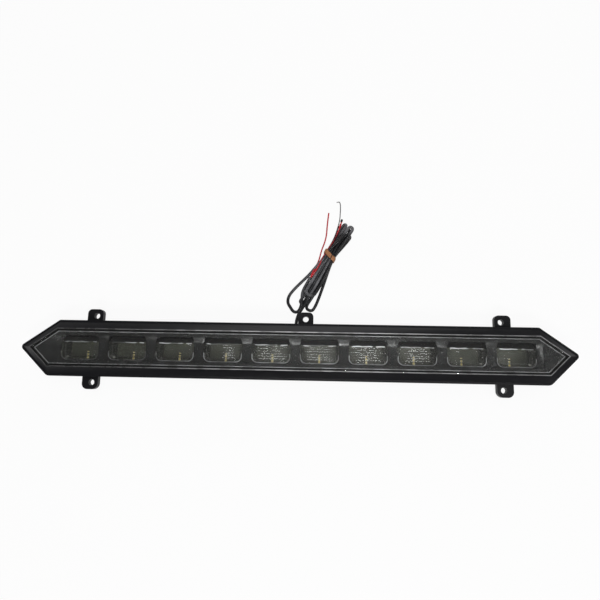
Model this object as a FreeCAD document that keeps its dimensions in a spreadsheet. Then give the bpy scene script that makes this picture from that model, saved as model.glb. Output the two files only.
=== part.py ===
"""Grille light: a slim LED lamp bar with pointed ends, five mounting tabs and a hanked lead.

Millimetres. +X runs along the bar, +Y towards the edge with three tabs, +Z out through
the lens. z = 0 is the flat back, and the origin is the middle of that face.
"""

import FreeCAD
import Part
import Sketcher
import math
import os
from types import SimpleNamespace

# Driving dimensions
SIZES = {
    # row of cells
    "cell_count": 10,
    "window_width": 38.6,
    "window_height": 24.0,
    "window_round": 6.0,
    "window_bevel_width": 1.6,
    "window_bevel_height": 5.0,
    "divider_width": 9.4,
    "cell_wall": 1.4,
    "cell_clearance": 0.35,
    # outline, measured from the ends of the row of cells
    "tip_margin": 40.0,
    "top_margin": 1.4,
    "bottom_margin": 9.8,
    "tip_height": 0.9,
    "tip_round": 3.5,
    "top_round": 3.0,
    "bottom_round": 7.0,
    # rim, from the outline inwards
    "lip_width": 2.2,
    "lip_thickness": 3.0,
    "bezel_width": 6.9,
    "rim_rise": 7.0,
    "lens_wall": 2.9,
    "lens_clearance": 0.2,
    "groove_depth": 5.5,
    "ledge_width": 2.2,
    "seal_thickness": 0.6,
    # heights, from the back upwards
    "floor_thickness": 2.0,
    "board_gap": 2.0,
    "board_thickness": 1.6,
    "cell_gap": 0.3,
    "cell_depth": 21.7,
    "mask_thickness": 2.6,
    "lens_gap": 0.8,
    "lens_thickness": 2.6,
    "lens_proud": 2.6,
    "lens_edge_round": 0.9,
    # skirt behind the lip, with its ribs
    "skirt_inset": 0.8,
    "skirt_wall": 2.0,
    "skirt_lift": 6.0,
    "tray_wall": 2.2,
    "rib_thickness": 1.8,
    "rib_lift": 2.0,
    "rib_sink": 0.4,
    # mounting tabs
    "tab_setback": 33.0,
    "centre_tab_shift": 9.7,
    "tab_hole": 6.0,
    "tab_hole_out": 5.65,
    "tab_margin": 7.0,
    "tab_width": 15.6,
    "corner_tab_width": 16.3,
    "corner_tab_lean": 1.6,
    "tab_thickness": 6.0,
    "tab_drop": 8.0,
    "top_tab_round": 4.5,
    "bottom_tab_round": 5.8,
    # mask in front of the cells
    "mask_clearance": 0.2,
    "trough_depth": 1.8,
    "trough_overrun": 1.5,
    "trough_top_inset": 0.8,
    "trough_bottom_margin": 0.4,
    "trough_slope": 4.5,
    "well_side_step": 1.3,
    "well_end_step": 0.3,
    # optics
    "optic_clearance": 0.15,
    "optic_height": 7.6,
    "optic_recess": 0.8,
    "optic_wall": 3.2,
    "optic_front": 5.3,
    "brow_run": 6.0,
    "brow_drop": 5.1,
    "flute_width": 1.8,
    "flute_depth": 0.35,
    "flute_pitch": 2.5,
    "flute_count": 6,
    # board and what it carries
    "board_end_gap": 4.5,
    "board_side_gap": 0.85,
    "rest_width": 6.0,
    "rest_length": 16.0,
    "led_width": 2.2,
    "led_length": 6.0,
    "led_height": 0.8,
    "led_rim": 0.3,
    "led_recess": 0.15,
    "led_margin": 0.6,
    "post_width": 5.6,
    "post_height": 8.0,
    "chip_width": 3.9,
    "chip_length": 4.9,
    "chip_height": 1.5,
    "chip_lead_reach": 1.0,
    "chip_lead_width": 0.5,
    "chip_lead_pitch": 1.27,
    "chip_lead_height": 0.6,
    "chip_gap": 3.4,
    "diode_width": 2.6,
    "diode_length": 4.3,
    "diode_height": 2.2,
    "diode_gap": 0.6,
    "socket_width": 4.8,
    "socket_length": 6.5,
    "socket_top": 2.4,
    "socket_gap": 0.5,
    # lead, gland and hank
    "lead_diameter": 3.3,
    "lead_shift": -0.8,
    "lead_height": 10.5,
    "gland_neck": 6.0,
    "gland_boot": 8.4,
    "gland_boot_length": 4.6,
    "gland_boot_end": 4.9,
    "notch_clearance": 0.8,
    "wire_diameter": 1.5,
    "bare_diameter": 0.9,
    "tie_width": 4.2,
    "tie_thickness": 1.0,
}


class Size:
    """A number that keeps the sheet expression it was worked out from."""

    def __init__(self, number, text):
        self.number = number
        self.text = text

    def joined(self, sign, other, number):
        return Size(number, f"({self.text} {sign} {other.text})")

    def __add__(self, other):
        other = sized(other)
        return self.joined("+", other, self.number + other.number)

    def __sub__(self, other):
        other = sized(other)
        return self.joined("-", other, self.number - other.number)

    def __rsub__(self, other):
        return sized(other) - self

    def __mul__(self, other):
        other = sized(other)
        return self.joined("*", other, self.number * other.number)

    def __rmul__(self, other):
        return sized(other) * self

    def __truediv__(self, other):
        other = sized(other)
        return self.joined("/", other, self.number / other.number)

    def __neg__(self):
        return Size(-self.number, f"(-1 * {self.text})")


def sized(value):
    return value if isinstance(value, Size) else Size(float(value), repr(float(value)))


def arctangent(ratio):
    return Size(math.degrees(math.atan(ratio.number)), f"atan({ratio.text})")


def tangent(angle):
    return Size(math.tan(math.radians(angle.number)), f"tan({angle.text})")


def sine(angle):
    return Size(math.sin(math.radians(angle.number)), f"sin({angle.text})")


def cosine(angle):
    return Size(math.cos(math.radians(angle.number)), f"cos({angle.text})")


doc = FreeCAD.newDocument("GrilleLight")
sheet = doc.addObject("Spreadsheet::Sheet", "Sizes")
for row, (alias, number) in enumerate(SIZES.items(), start=1):
    sheet.set(f"A{row}", str(number))
    sheet.setAlias(f"A{row}", alias)
doc.recompute()

d = SimpleNamespace(**{alias: Size(float(number), f"Sizes.{alias}") for alias, number in SIZES.items()})
zero = sized(0)
cell_total = int(d.cell_count.number)

# Lengths along the bar
pitch = d.window_width + d.divider_width
half_row = d.cell_count * pitch / 2
first_cell = pitch / 2 - half_row
tip_x = half_row + d.tip_margin
top_x = half_row + d.top_margin
bottom_x = half_row + d.bottom_margin
tab_x = half_row - d.tab_setback

# Distances inwards from the outline
tray_skin = d.skirt_inset + d.skirt_wall
crest_inset = d.lip_width + d.bezel_width
lens_inset = crest_inset + d.lens_clearance
ledge_inset = crest_inset + d.lens_wall + 2 * d.lens_clearance
cavity_inset = ledge_inset + d.ledge_width
tray_inset = cavity_inset - d.tray_wall
mask_inset = ledge_inset + d.mask_clearance
cavity_half = d.window_height / 2 + d.cell_wall + d.cell_clearance
half_height = cavity_inset + cavity_half

# Heights above the back
board_back = d.floor_thickness + d.board_gap
board_front = board_back + d.board_thickness
cell_back = board_front + d.cell_gap
ledge_top = cell_back + d.cell_depth
mask_front = ledge_top + d.mask_thickness
lens_inside = mask_front + d.lens_gap
lens_front = lens_inside + d.lens_thickness
crest = lens_front - d.lens_proud
lip_front = crest - d.rim_rise
lip_back = lip_front - d.lip_thickness
groove_floor = crest - d.groove_depth
lens_foot = groove_floor + d.seal_thickness
tab_front = lip_front - d.tab_drop
tab_back = tab_front - d.tab_thickness
optic_front = mask_front - d.trough_depth - d.optic_recess
optic_seat = optic_front - d.optic_height

# Places on the board, from the lead's edge downwards
socket_edge = cavity_half - d.socket_gap
diode_edge = socket_edge - d.socket_length - d.diode_gap
chip_edge = diode_edge - d.diode_length - d.chip_gap

# Slopes of the pointed ends
upper_slope = arctangent((half_height - d.tip_height) / (tip_x - top_x))
lower_slope = arctangent((half_height + d.tip_height) / (tip_x - bottom_x))
half_sum = (upper_slope + lower_slope) / 2
half_difference = (lower_slope - upper_slope) / 2


def bar_corners(inset):
    """The six corners of the pointed outline, moved inwards by inset, anticlockwise from the top right."""
    top = top_x - inset * tangent(upper_slope / 2)
    bottom = bottom_x - inset * tangent(lower_slope / 2)
    tip = tip_x - inset * cosine(half_difference) / sine(half_sum)
    tip_level = d.tip_height - inset * sine(half_difference) / sine(half_sum)
    level = half_height - inset
    left = [(-top, level), (-tip, tip_level), (-bottom, -level)]
    return [(top, level), *left, (bottom, -level), (tip, tip_level)]


def box_corners(x_middle, y_middle, width, height):
    """The four corners of an upright rectangle, anticlockwise from the bottom right."""
    right = x_middle + width / 2
    left = x_middle - width / 2
    top = y_middle + height / 2
    bottom = y_middle - height / 2
    return [(right, bottom), (right, top), (left, top), (left, bottom)]


def window_corners(x_middle, side_step, end_step):
    """The outline of a window moved inwards: square below, where it is rounded, and bevelled above."""
    right = x_middle + d.window_width / 2 - side_step
    left = x_middle - d.window_width / 2 + side_step
    top = d.window_height / 2 - end_step
    shoulder = top - d.window_bevel_height
    bevel = d.window_bevel_width
    upper = [(right, shoulder), (right - bevel, top), (left + bevel, top), (left, shoulder)]
    return [(right, -top)] + upper + [(left, -top)]


# Sketch helpers


def origin_item(body, role):
    return next(item for item in body.Origin.OriginFeatures if item.Role == role)


def new_body(label):
    body = doc.addObject("PartDesign::Body", label)
    body.Label = label
    return body


def new_sketch(body, name, height=None, plane="XY_Plane"):
    sketch = body.newObject("Sketcher::SketchObject", name)
    sketch.AttachmentSupport = [(origin_item(body, plane), "")]
    sketch.MapMode = "FlatFace"
    if height is not None:
        sketch.setExpression("AttachmentOffset.Base.z", height.text)
    return sketch


def constrain(sketch, kind, *references):
    return sketch.addConstraint(Sketcher.Constraint(kind, *references))


def constrain_size(sketch, kind, *references):
    """A dimension whose last reference is the Size that drives it."""
    *places, size = references
    index = constrain(sketch, kind, *places, size.number)
    sketch.setExpression(f"Constraints[{index}]", size.text)


def fix_point(sketch, geometry, end, x, y):
    for kind, size, axis in (("DistanceX", x, -2), ("DistanceY", y, -1)):
        if size.text == zero.text:
            constrain(sketch, "PointOnObject", geometry, end, axis)
        else:
            constrain_size(sketch, kind, -1, 1, geometry, end, size)


def polygon(sketch, corners):
    points = [FreeCAD.Vector(x.number, y.number, 0) for x, y in corners]
    ends = points[1:] + points[:1]
    lines = [sketch.addGeometry(Part.LineSegment(a, b), False) for a, b in zip(points, ends)]
    for line, following, corner in zip(lines, lines[1:] + lines[:1], corners):
        constrain(sketch, "Coincident", line, 2, following, 1)
        fix_point(sketch, line, 1, *corner)


def rounded_polygon(sketch, corners, radii):
    """An anticlockwise outline with a tangent arc at each corner; a radius of None leaves it sharp."""
    points = [FreeCAD.Vector(x.number, y.number, 0) for x, y in corners]
    count = len(points)
    before, after, arcs = [], [], []
    for i, (point, radius) in enumerate(zip(points, radii)):
        back = (points[i - 1] - point).normalize()
        ahead = (points[(i + 1) % count] - point).normalize()
        half = back.getAngle(ahead) / 2
        reach = radius.number / math.tan(half) if radius else 0
        before.append(point + back * reach)
        after.append(point + ahead * reach)
        arcs.append(None)
        if radius:
            centre = point + (back + ahead).normalize() * (radius.number / math.sin(half))
            start = math.atan2(before[i].y - centre.y, before[i].x - centre.x)
            turn = math.pi - 2 * half
            ring = Part.Circle(centre, FreeCAD.Vector(0, 0, 1), radius.number)
            arcs[i] = sketch.addGeometry(Part.ArcOfCircle(ring, start, start + turn), False)
            constrain_size(sketch, "Radius", arcs[i], radius)
    sides = [
        sketch.addGeometry(Part.LineSegment(after[i], before[(i + 1) % count]), False) for i in range(count)
    ]
    for i, (arc, corner) in enumerate(zip(arcs, corners)):
        if arc is None:
            constrain(sketch, "Coincident", sides[i - 1], 2, sides[i], 1)
            fix_point(sketch, sides[i], 1, *corner)
        else:
            constrain(sketch, "Tangent", sides[i - 1], 2, arc, 1)
            constrain(sketch, "Tangent", arc, 2, sides[i], 1)
            mark = sketch.addGeometry(Part.Point(points[i]), True)
            fix_point(sketch, mark, 1, *corner)
            constrain(sketch, "PointOnObject", mark, 1, sides[i - 1])
            constrain(sketch, "PointOnObject", mark, 1, sides[i])


def circle(sketch, x, y, diameter):
    centre = FreeCAD.Vector(x.number, y.number, 0)
    ring = sketch.addGeometry(Part.Circle(centre, FreeCAD.Vector(0, 0, 1), diameter.number / 2), False)
    constrain_size(sketch, "Diameter", ring, diameter)
    fix_point(sketch, ring, 3, x, y)


# Feature helpers


def extrude(body, kind, name, sketch, length, reverse=False):
    feature = body.newObject("PartDesign::" + kind, name)
    feature.Profile = sketch
    feature.setExpression("Length", length.text)
    feature.Reversed = reverse
    return feature


def pad(body, name, sketch, length):
    return extrude(body, "Pad", name, sketch, length)


def pocket(body, name, sketch, depth, upwards=False):
    return extrude(body, "Pocket", name, sketch, depth, upwards)


def across(feature):
    """Lets a pad or pocket run equally to both sides of its sketch."""
    feature.SideType = "Symmetric"
    return feature


def pattern(body, name, feature, axis, count, step):
    row = body.newObject("PartDesign::LinearPattern", name)
    row.Originals = [feature]
    row.Direction = (origin_item(body, axis), [""])
    row.setExpression("Length", ((count - 1) * step).text)
    row.setExpression("Occurrences", count.text)
    body.Tip = row
    return row


def window_outline(sketch, x_middle, side_step, end_step):
    lower_round = d.window_round - side_step
    radii = [lower_round, None, None, None, None, lower_round]
    rounded_polygon(sketch, window_corners(x_middle, side_step, end_step), radii)


def cell_row(body, name, feature):
    return pattern(body, name, feature, "X_Axis", d.cell_count, pitch)


def post_places():
    """The mask's posts stand behind the second and fourth dividers, counted in from each end."""
    outer = half_row - 2 * pitch
    inner = half_row - 4 * pitch
    return [-outer, -inner, inner, outer]


# Sub-parts


def rear_housing():
    """Moulded tray: floor, tray walls, sloped rim with the lens groove, lip, ribbed skirt and five tabs."""
    body = new_body("rear_housing")
    rounds = [d.top_round, d.top_round, d.tip_round, d.bottom_round, d.bottom_round, d.tip_round]

    tray = new_sketch(body, "TrayOutline")
    polygon(tray, bar_corners(tray_inset))
    pad(body, "Tray", tray, lip_back)

    skirt = new_sketch(body, "SkirtOutline", d.skirt_lift)
    rounded_polygon(skirt, bar_corners(d.skirt_inset), rounds)
    polygon(skirt, bar_corners(tray_skin))
    pad(body, "Skirt", skirt, lip_back - d.skirt_lift)

    lip = new_sketch(body, "LipOutline", lip_back)
    rounded_polygon(lip, bar_corners(zero), rounds)
    pad(body, "Lip", lip, d.lip_thickness)

    rim_foot = new_sketch(body, "RimFoot", lip_front)
    polygon(rim_foot, bar_corners(d.lip_width))
    rim_crest = new_sketch(body, "RimCrest", crest)
    polygon(rim_crest, bar_corners(crest_inset))
    rim = body.newObject("PartDesign::AdditiveLoft", "SlopedRim")
    rim.Profile = rim_foot
    rim.Sections = [rim_crest]
    rim.Ruled = True

    seat = new_sketch(body, "LensSeatOutline", crest)
    polygon(seat, bar_corners(crest_inset))
    pocket(body, "LensSeat", seat, crest - ledge_top)
    groove = new_sketch(body, "GrooveOutline", ledge_top)
    polygon(groove, bar_corners(crest_inset))
    polygon(groove, bar_corners(ledge_inset))
    pocket(body, "LensGroove", groove, ledge_top - groove_floor)
    cavity = new_sketch(body, "CavityOutline", ledge_top)
    polygon(cavity, bar_corners(cavity_inset))
    pocket(body, "Cavity", cavity, ledge_top - d.floor_thickness)

    tabs = new_sketch(body, "TabOutlines", tab_back)
    root = half_height - d.skirt_inset - d.skirt_wall / 2
    hole_level = half_height + d.tab_hole_out
    reach = hole_level + d.tab_margin
    corner_middle = tab_x + d.corner_tab_lean
    right = (tab_x, corner_middle, d.corner_tab_width)
    left = (-tab_x, -corner_middle, d.corner_tab_width)
    centre = (d.centre_tab_shift, d.centre_tab_shift, d.tab_width)
    for (x, middle, width), side in ((right, 1), (left, 1), (centre, 1), (right, -1), (left, -1)):
        corners = box_corners(middle, side * (root + reach) / 2, width, reach - root)
        round_end = d.top_tab_round if side > 0 else d.bottom_tab_round
        ends = [None, round_end, round_end, None]
        rounded_polygon(tabs, corners, ends if side > 0 else ends[2:] + ends[:2])
        circle(tabs, x, side * hole_level, d.tab_hole)
    pad(body, "Tabs", tabs, d.tab_thickness)

    ribs = new_sketch(body, "RibOutlines", d.skirt_lift + d.rib_lift)
    rib_from = half_height - tray_skin + d.rib_sink
    rib_to = half_height - tray_inset - d.rib_sink
    rib_middle = (rib_from + rib_to) / 2
    for side in (1, -1):
        polygon(ribs, box_corners(first_cell, side * rib_middle, d.rib_thickness, rib_from - rib_to))
    rib = pad(body, "Ribs", ribs, lip_back - d.skirt_lift - d.rib_lift)
    cell_row(body, "RibRow", rib)

    rests = new_sketch(body, "BoardRestOutline", d.floor_thickness)
    polygon(rests, box_corners(first_cell, zero, d.rest_width, d.rest_length))
    rest = pad(body, "BoardRest", rests, d.board_gap)
    cell_row(body, "BoardRests", rest)

    gland = new_sketch(body, "GlandHole", plane="XZ_Plane")
    circle(gland, d.lead_shift, d.lead_height, d.gland_neck)
    pocket(body, "GlandBore", gland, half_height - (tray_skin + tray_inset) / 2)
    notch = new_sketch(body, "LeadNotchOutline", d.skirt_lift)
    notch_width = d.lead_diameter + 2 * d.notch_clearance
    notch_middle = half_height - tray_skin / 2
    polygon(notch, box_corners(d.lead_shift, notch_middle, notch_width, tray_skin + d.skirt_wall))
    pocket(body, "LeadNotch", notch, d.lead_height + notch_width / 2 - d.skirt_lift, upwards=True)

    return body


def front_lens():
    """Flat clear cap: a front plate with an edge wall that stands in the rim's groove."""
    body = new_body("front_lens")
    outline = new_sketch(body, "LensOutline", lens_foot)
    polygon(outline, bar_corners(lens_inset))
    cap = pad(body, "LensCap", outline, lens_front - lens_foot)
    inside = new_sketch(body, "LensInside", lens_foot)
    polygon(inside, bar_corners(lens_inset + d.lens_wall))
    hollow = pocket(body, "LensHollow", inside, lens_inside - lens_foot, upwards=True)
    doc.recompute()
    front_edges = [
        f"Edge{i}"
        for i, edge in enumerate(hollow.Shape.Edges, start=1)
        if edge.BoundBox.ZMin > lens_inside.number + d.lens_thickness.number / 2
    ]
    rounding = body.newObject("PartDesign::Fillet", "LensEdgeRound")
    rounding.Base = (hollow, front_edges)
    rounding.setExpression("Radius", d.lens_edge_round.text)
    return body


def lens_seal():
    """Bead of sealant on the floor of the groove, under the lens foot."""
    body = new_body("lens_seal")
    outline = new_sketch(body, "SealOutline", groove_floor)
    polygon(outline, bar_corners(crest_inset))
    polygon(outline, bar_corners(ledge_inset))
    pad(body, "Seal", outline, d.seal_thickness)
    return body


def inner_mask():
    """Black frame behind the lens: a plate on the rim's ledge, a trough, and a walled cell at each window."""
    body = new_body("inner_mask")
    plate = new_sketch(body, "MaskOutline", ledge_top)
    polygon(plate, bar_corners(mask_inset))
    pad(body, "MaskPlate", plate, d.mask_thickness)

    wall = new_sketch(body, "CellOutline", cell_back)
    width = d.window_width + 2 * d.cell_wall
    height = d.window_height + 2 * d.cell_wall
    wall_corners = box_corners(first_cell, zero, width, height)
    polygon(wall, wall_corners)
    cell = pad(body, "Cell", wall, ledge_top - cell_back)
    cell_row(body, "Cells", cell)

    posts = new_sketch(body, "PostOutlines", board_front)
    for x in post_places():
        polygon(posts, box_corners(x, zero, d.post_width, d.post_height))
    pad(body, "Posts", posts, ledge_top - board_front)

    trough = new_sketch(body, "TroughProfile", plane="YZ_Plane")
    brink = d.window_height / 2 - d.trough_top_inset
    foot = -(d.window_height / 2 + d.trough_bottom_margin)
    bed = mask_front - d.trough_depth
    polygon(trough, [(brink, mask_front), (foot, mask_front), (foot, bed), (brink - d.trough_slope, bed)])
    across(pocket(body, "Trough", trough, 2 * (half_row + d.trough_overrun)))

    window = new_sketch(body, "WindowOutline", mask_front)
    window_outline(window, first_cell, zero, zero)
    opening = pocket(body, "Window", window, mask_front - optic_seat)
    cell_row(body, "Windows", opening)

    well = new_sketch(body, "WellOutline", optic_seat)
    window_outline(well, first_cell, d.well_side_step, d.well_end_step)
    shaft = pocket(body, "Well", well, optic_seat - cell_back)
    cell_row(body, "Wells", shaft)

    return body


def optic(number):
    """Clear cap that sits on the step of its cell: fluted front, sloped brow and a hollow behind."""
    body = new_body(f"optic_{number:02d}")
    body.setExpression("Placement.Base.x", (first_cell + (number - 1) * pitch).text)
    outline = new_sketch(body, "OpticOutline", optic_seat)
    width = d.window_width - 2 * d.optic_clearance
    height = d.window_height - 2 * d.optic_clearance
    window_outline(outline, zero, d.optic_clearance, d.optic_clearance)
    pad(body, "OpticBlock", outline, d.optic_height)

    brow = new_sketch(body, "BrowProfile", plane="YZ_Plane")
    top = height / 2
    polygon(brow, [(top, optic_front), (top - d.brow_run, optic_front), (top, optic_front - d.brow_drop)])
    across(pocket(body, "Brow", brow, width))

    flute = new_sketch(body, "FluteProfile", plane="YZ_Plane")
    lowest = d.flute_pitch - height / 2
    left = lowest - d.flute_width / 2
    right = lowest + d.flute_width / 2
    polygon(flute, [(right, optic_front), (left, optic_front), (lowest, optic_front - d.flute_depth)])
    groove = across(pocket(body, "Flute", flute, width - 2 * d.window_round))
    pattern(body, "Flutes", groove, "Y_Axis", d.flute_count, d.flute_pitch)

    inside = new_sketch(body, "OpticInside", optic_seat)
    inner_width = width - 2 * d.optic_wall
    inner_height = height - 2 * d.optic_wall
    polygon(inside, box_corners(zero, zero, inner_width, inner_height))
    pocket(body, "OpticHollow", inside, d.optic_height - d.optic_front, upwards=True)
    return body


def led_board():
    """Circuit board, held between the tray's rests and the mask's posts."""
    body = new_body("led_board")
    outline = new_sketch(body, "BoardOutline", board_back)
    length = 2 * (half_row - d.board_end_gap)
    polygon(outline, box_corners(zero, zero, length, 2 * (cavity_half - d.board_side_gap)))
    pad(body, "Board", outline, d.board_thickness)
    return body


def box(name, x_middle, y_middle, bottom, width, length, height):
    """A block with its middle and its lower face given."""
    block = doc.addObject("Part::Box", name)
    for side, size in (("Length", width), ("Width", length), ("Height", height)):
        block.setExpression(side, size.text)
    corner = (x_middle - width / 2, y_middle - length / 2, bottom)
    for axis, size in zip("xyz", corner):
        block.setExpression(f"Placement.Base.{axis}", size.text)
    return block


def led(number):
    """Slim LED package, upright in its cell, with a recessed light-giving window."""
    x = first_cell + (number - 1) * pitch
    y = d.led_margin + d.led_length / 2 - d.window_height / 2
    package = box(f"LedPackage{number}", x, y, board_front, d.led_width, d.led_length, d.led_height)
    glow_width = d.led_width - 2 * d.led_rim
    glow_length = d.led_length - 2 * d.led_rim
    glow_floor = board_front + d.led_height - d.led_recess
    glow = box(f"LedWindow{number}", x, y, glow_floor, glow_width, glow_length, d.led_height)
    piece = doc.addObject("Part::Cut", f"led_{number:02d}")
    piece.Label = f"led_{number:02d}"
    piece.Base = package
    piece.Tool = glow
    return piece


def driver_chip():
    """Eight-legged driver on the board, behind the middle divider."""
    middle = chip_edge - d.chip_length / 2
    blocks = [box("ChipBody", zero, middle, board_front, d.chip_width, d.chip_length, d.chip_height)]
    reach = d.chip_width + 2 * d.chip_lead_reach
    for step in (-1.5, -0.5, 0.5, 1.5):
        y = middle + step * d.chip_lead_pitch
        lead_size = (reach, d.chip_lead_width, d.chip_lead_height)
        blocks.append(box(f"ChipLead{len(blocks)}", zero, y, board_front, *lead_size))
    piece = doc.addObject("Part::MultiFuse", "driver_chip")
    piece.Label = "driver_chip"
    piece.Shapes = blocks
    return piece


def input_diode():
    """Diode on the board that guards against a reversed supply."""
    y = diode_edge - d.diode_length / 2
    piece = box("input_diode", zero, y, board_front, d.diode_width, d.diode_length, d.diode_height)
    piece.Label = "input_diode"
    return piece


def lead_socket():
    """Potted connector on the board that the end of the lead goes to."""
    height = d.lead_height + d.socket_top - board_front
    y = socket_edge - d.socket_length / 2
    piece = box("lead_socket", d.lead_shift, y, board_front, d.socket_width, d.socket_length, height)
    piece.Label = "lead_socket"
    return piece


def cable_grommet():
    """Rubber gland: a neck in the tray wall and a tapered boot on the lead outside it."""
    body = new_body("cable_grommet")
    wall_in = cavity_half
    wall_out = half_height - tray_inset
    profile = new_sketch(body, "GlandProfile", d.lead_height)
    bore = d.lead_shift + d.lead_diameter / 2
    corners = [
        (bore, wall_in),
        (d.lead_shift + d.gland_neck / 2, wall_in),
        (d.lead_shift + d.gland_neck / 2, wall_out),
        (d.lead_shift + d.gland_boot / 2, wall_out),
        (d.lead_shift + d.gland_boot_end / 2, wall_out + d.gland_boot_length),
        (bore, wall_out + d.gland_boot_length),
    ]
    polygon(profile, corners)
    axis_line = sketch_axis(profile, d.lead_shift, wall_in, wall_out)
    turn = body.newObject("PartDesign::Revolution", "Gland")
    turn.Profile = profile
    turn.ReferenceAxis = (profile, [axis_line])
    turn.Angle = 360.0
    return body


def sketch_axis(sketch, x, low, high):
    """A construction line up the sketch that a profile is turned about."""
    ends = [FreeCAD.Vector(x.number, level.number, 0) for level in (low, high)]
    index = sketch.addGeometry(Part.LineSegment(*ends), True)
    fix_point(sketch, index, 1, x, low)
    fix_point(sketch, index, 2, x, high)
    return "Axis0"


# Lead and hank

UP = FreeCAD.Vector(0, 0, 1)
# The share of the shorter run that an arc takes up on each side of its point
ARC_SHARE = 0.45


def rounded_path(name, points):
    """Straight runs joined by tangent arcs, each as large as its two runs allow, and the path's length."""
    edges = []
    radii = []
    start = points[0]
    for last, point, following in zip(points, points[1:], points[2:]):
        arriving = point - last
        leaving = following - point
        reach = ARC_SHARE * min(arriving.Length, leaving.Length)
        turn = arriving.getAngle(leaving)
        arriving.normalize()
        leaving.normalize()
        inwards = (leaving - arriving).normalize()
        radius = reach / math.tan(turn / 2)
        centre = point + inwards * (radius / math.cos(turn / 2))
        arc_start = point - arriving * reach
        arc_end = point + leaving * reach
        edges.append(Part.LineSegment(start, arc_start).toShape())
        edges.append(Part.Arc(arc_start, centre - inwards * radius, arc_end).toShape())
        radii.append(round(radius, 1))
        start = arc_end
    edges.append(Part.LineSegment(start, points[-1]).toShape())
    length = sum(edge.Length for edge in edges)
    print(f"{name}: length {length:.1f} mm, bend radii {radii}")
    return Part.Wire(edges), length


def section(centre, normal, diameter, sides):
    """A regular many-sided outline that stands across normal."""
    ahead = FreeCAD.Vector(normal).normalize()
    level = ahead.cross(UP).normalize()
    rise = level.cross(ahead)
    angles = [2 * math.pi * i / sides for i in range(sides + 1)]
    ring = [level * math.cos(angle) + rise * math.sin(angle) for angle in angles]
    return Part.makePolygon([centre + point * (diameter / 2) for point in ring])


def tube_shape(name, points, diameter, sides=6):
    """A tube along a route; its section has few sides, to stay light."""
    path, length = rounded_path(name, points)
    profile = Part.Face(section(points[0], points[1] - points[0], diameter, sides))
    tube = path.makePipe(profile)
    expected = profile.Area * length
    if abs(tube.Volume - expected) > 0.01 * expected:
        raise RuntimeError(f"{name}: volume {tube.Volume:.1f}, expected {expected:.1f}")
    return tube


def vectors(points):
    return [FreeCAD.Vector(*point) for point in points]


def shape_feature(label, shape):
    piece = doc.addObject("Part::Feature", label)
    piece.Label = label
    piece.Shape = shape
    piece.Placement = FreeCAD.Placement()
    return piece


# The hank lies on the surface under the lamp. Its middle line, from the fold by the lamp to the far folds:
# place along X and Y, half width, height and lift.
HANK_STATIONS = [
    (6.4, 50.4, 4.2, 7.6, 0.0),
    (10.8, 62.2, 7.3, 7.0, 0.0),
    (20.3, 75.6, 9.0, 6.8, 0.0),
    (30.2, 94.6, 4.8, 7.6, 0.8),
    (31.9, 100.8, 5.0, 8.0, 1.7),
    (35.2, 107.0, 5.0, 8.0, 1.7),
    (48.9, 125.2, 6.9, 7.0, 0.0),
    (54.6, 137.6, 5.4, 6.0, 0.0),
]
HANK_LINE = FreeCAD.Vector(0.468, 0.884, 0)
HANK_SIDE = FreeCAD.Vector(0.884, -0.468, 0)
TIE_PLACE = FreeCAD.Vector(33.55, 103.9, 5.7)
TIE_ROOM = 0.9
NECK_HALF_WIDTH = 5.0
NECK_HALF_HEIGHT = 4.0
TIE_SIDE_GAP = 0.12
TIE_TOP_GAP = 0.65

# The two folds that stand out of the hank on the lamp's side
LEFT_FOLD = [(24.4, 96.0, 3.6), (13.4, 85.2, 1.8), (-1.6, 70.6, 1.7), (-11.2, 57.0, 1.7), (-7.0, 46.0, 1.7)]
LEFT_FOLD += [(2.4, 43.4, 1.7), (8.6, 52.0, 1.8)]
RIGHT_FOLD = [(7.2, 52.0, 1.8), (10.8, 45.6, 1.7), (15.8, 46.2, 1.7), (22.2, 57.2, 1.7), (26.8, 71.0, 1.8)]

# Far ends of the wires, from where they leave the sheath
RED_FREE = [(15.0, 79.2, 4.4), (15.4, 86.6, 5.2), (18.4, 93.4, 4.6), (22.2, 101.2, 1.9), (25.2, 112.0, 0.8)]
RED_FREE += [(29.8, 126.0, 0.8), (30.6, 140.0, 0.8), (32.4, 153.3, 0.8)]
RED_TIED = [(17.9, 79.6, 4.8), (19.2, 87.4, 6.8), (22.4, 95.2, 6.9), (26.3, 102.6, 6.5), (30.5, 110.6, 6.5)]
RED_TIED += [(37.4, 122.4, 3.6), (43.2, 133.6, 1.9), (46.3, 145.0, 0.8)]
BLACK_WIRE = [(16.4, 78.8, 4.0), (17.2, 87.2, 5.2), (21.2, 94.8, 5.0), (26.3, 102.6, 4.7)]
BLACK_WIRE += [(30.5, 110.6, 4.7), (36.2, 122.2, 1.4), (40.3, 130.8, 0.8), (42.5, 138.7, 0.8)]
BARE_END = [(42.5, 138.7, 0.8), (44.7, 149.6, 0.8), (45.2, 159.2, 0.8), (44.0, 163.6, 0.8)]
BARE_END += [(40.8, 165.7, 0.8)]


def oval(centre, half_width, half_height, sides=16):
    """A many-sided oval across the hank; half_width lies level and half_height stands upright."""
    angles = [2 * math.pi * i / sides for i in range(sides + 1)]
    level = [HANK_SIDE * half_width * math.cos(angle) for angle in angles]
    upright = [UP * half_height * math.sin(angle) for angle in angles]
    return Part.makePolygon([centre + a + b for a, b in zip(level, upright)])


def lead_hank():
    """Outer shape of the folded lead: a waisted bundle and the two folds that stand out of it."""
    sections = [
        oval(FreeCAD.Vector(x, y, lift + height / 2), half_width, height / 2, sides=10)
        for x, y, half_width, height, lift in HANK_STATIONS
    ]
    bundle = Part.makeLoft(sections, True, True)
    folds = [
        tube_shape(name, vectors(points), d.lead_diameter.number)
        for name, points in (("left fold", LEFT_FOLD), ("right fold", RIGHT_FOLD))
    ]
    return shape_feature("lead_hank", bundle.multiFuse(folds).removeSplitter())


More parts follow.
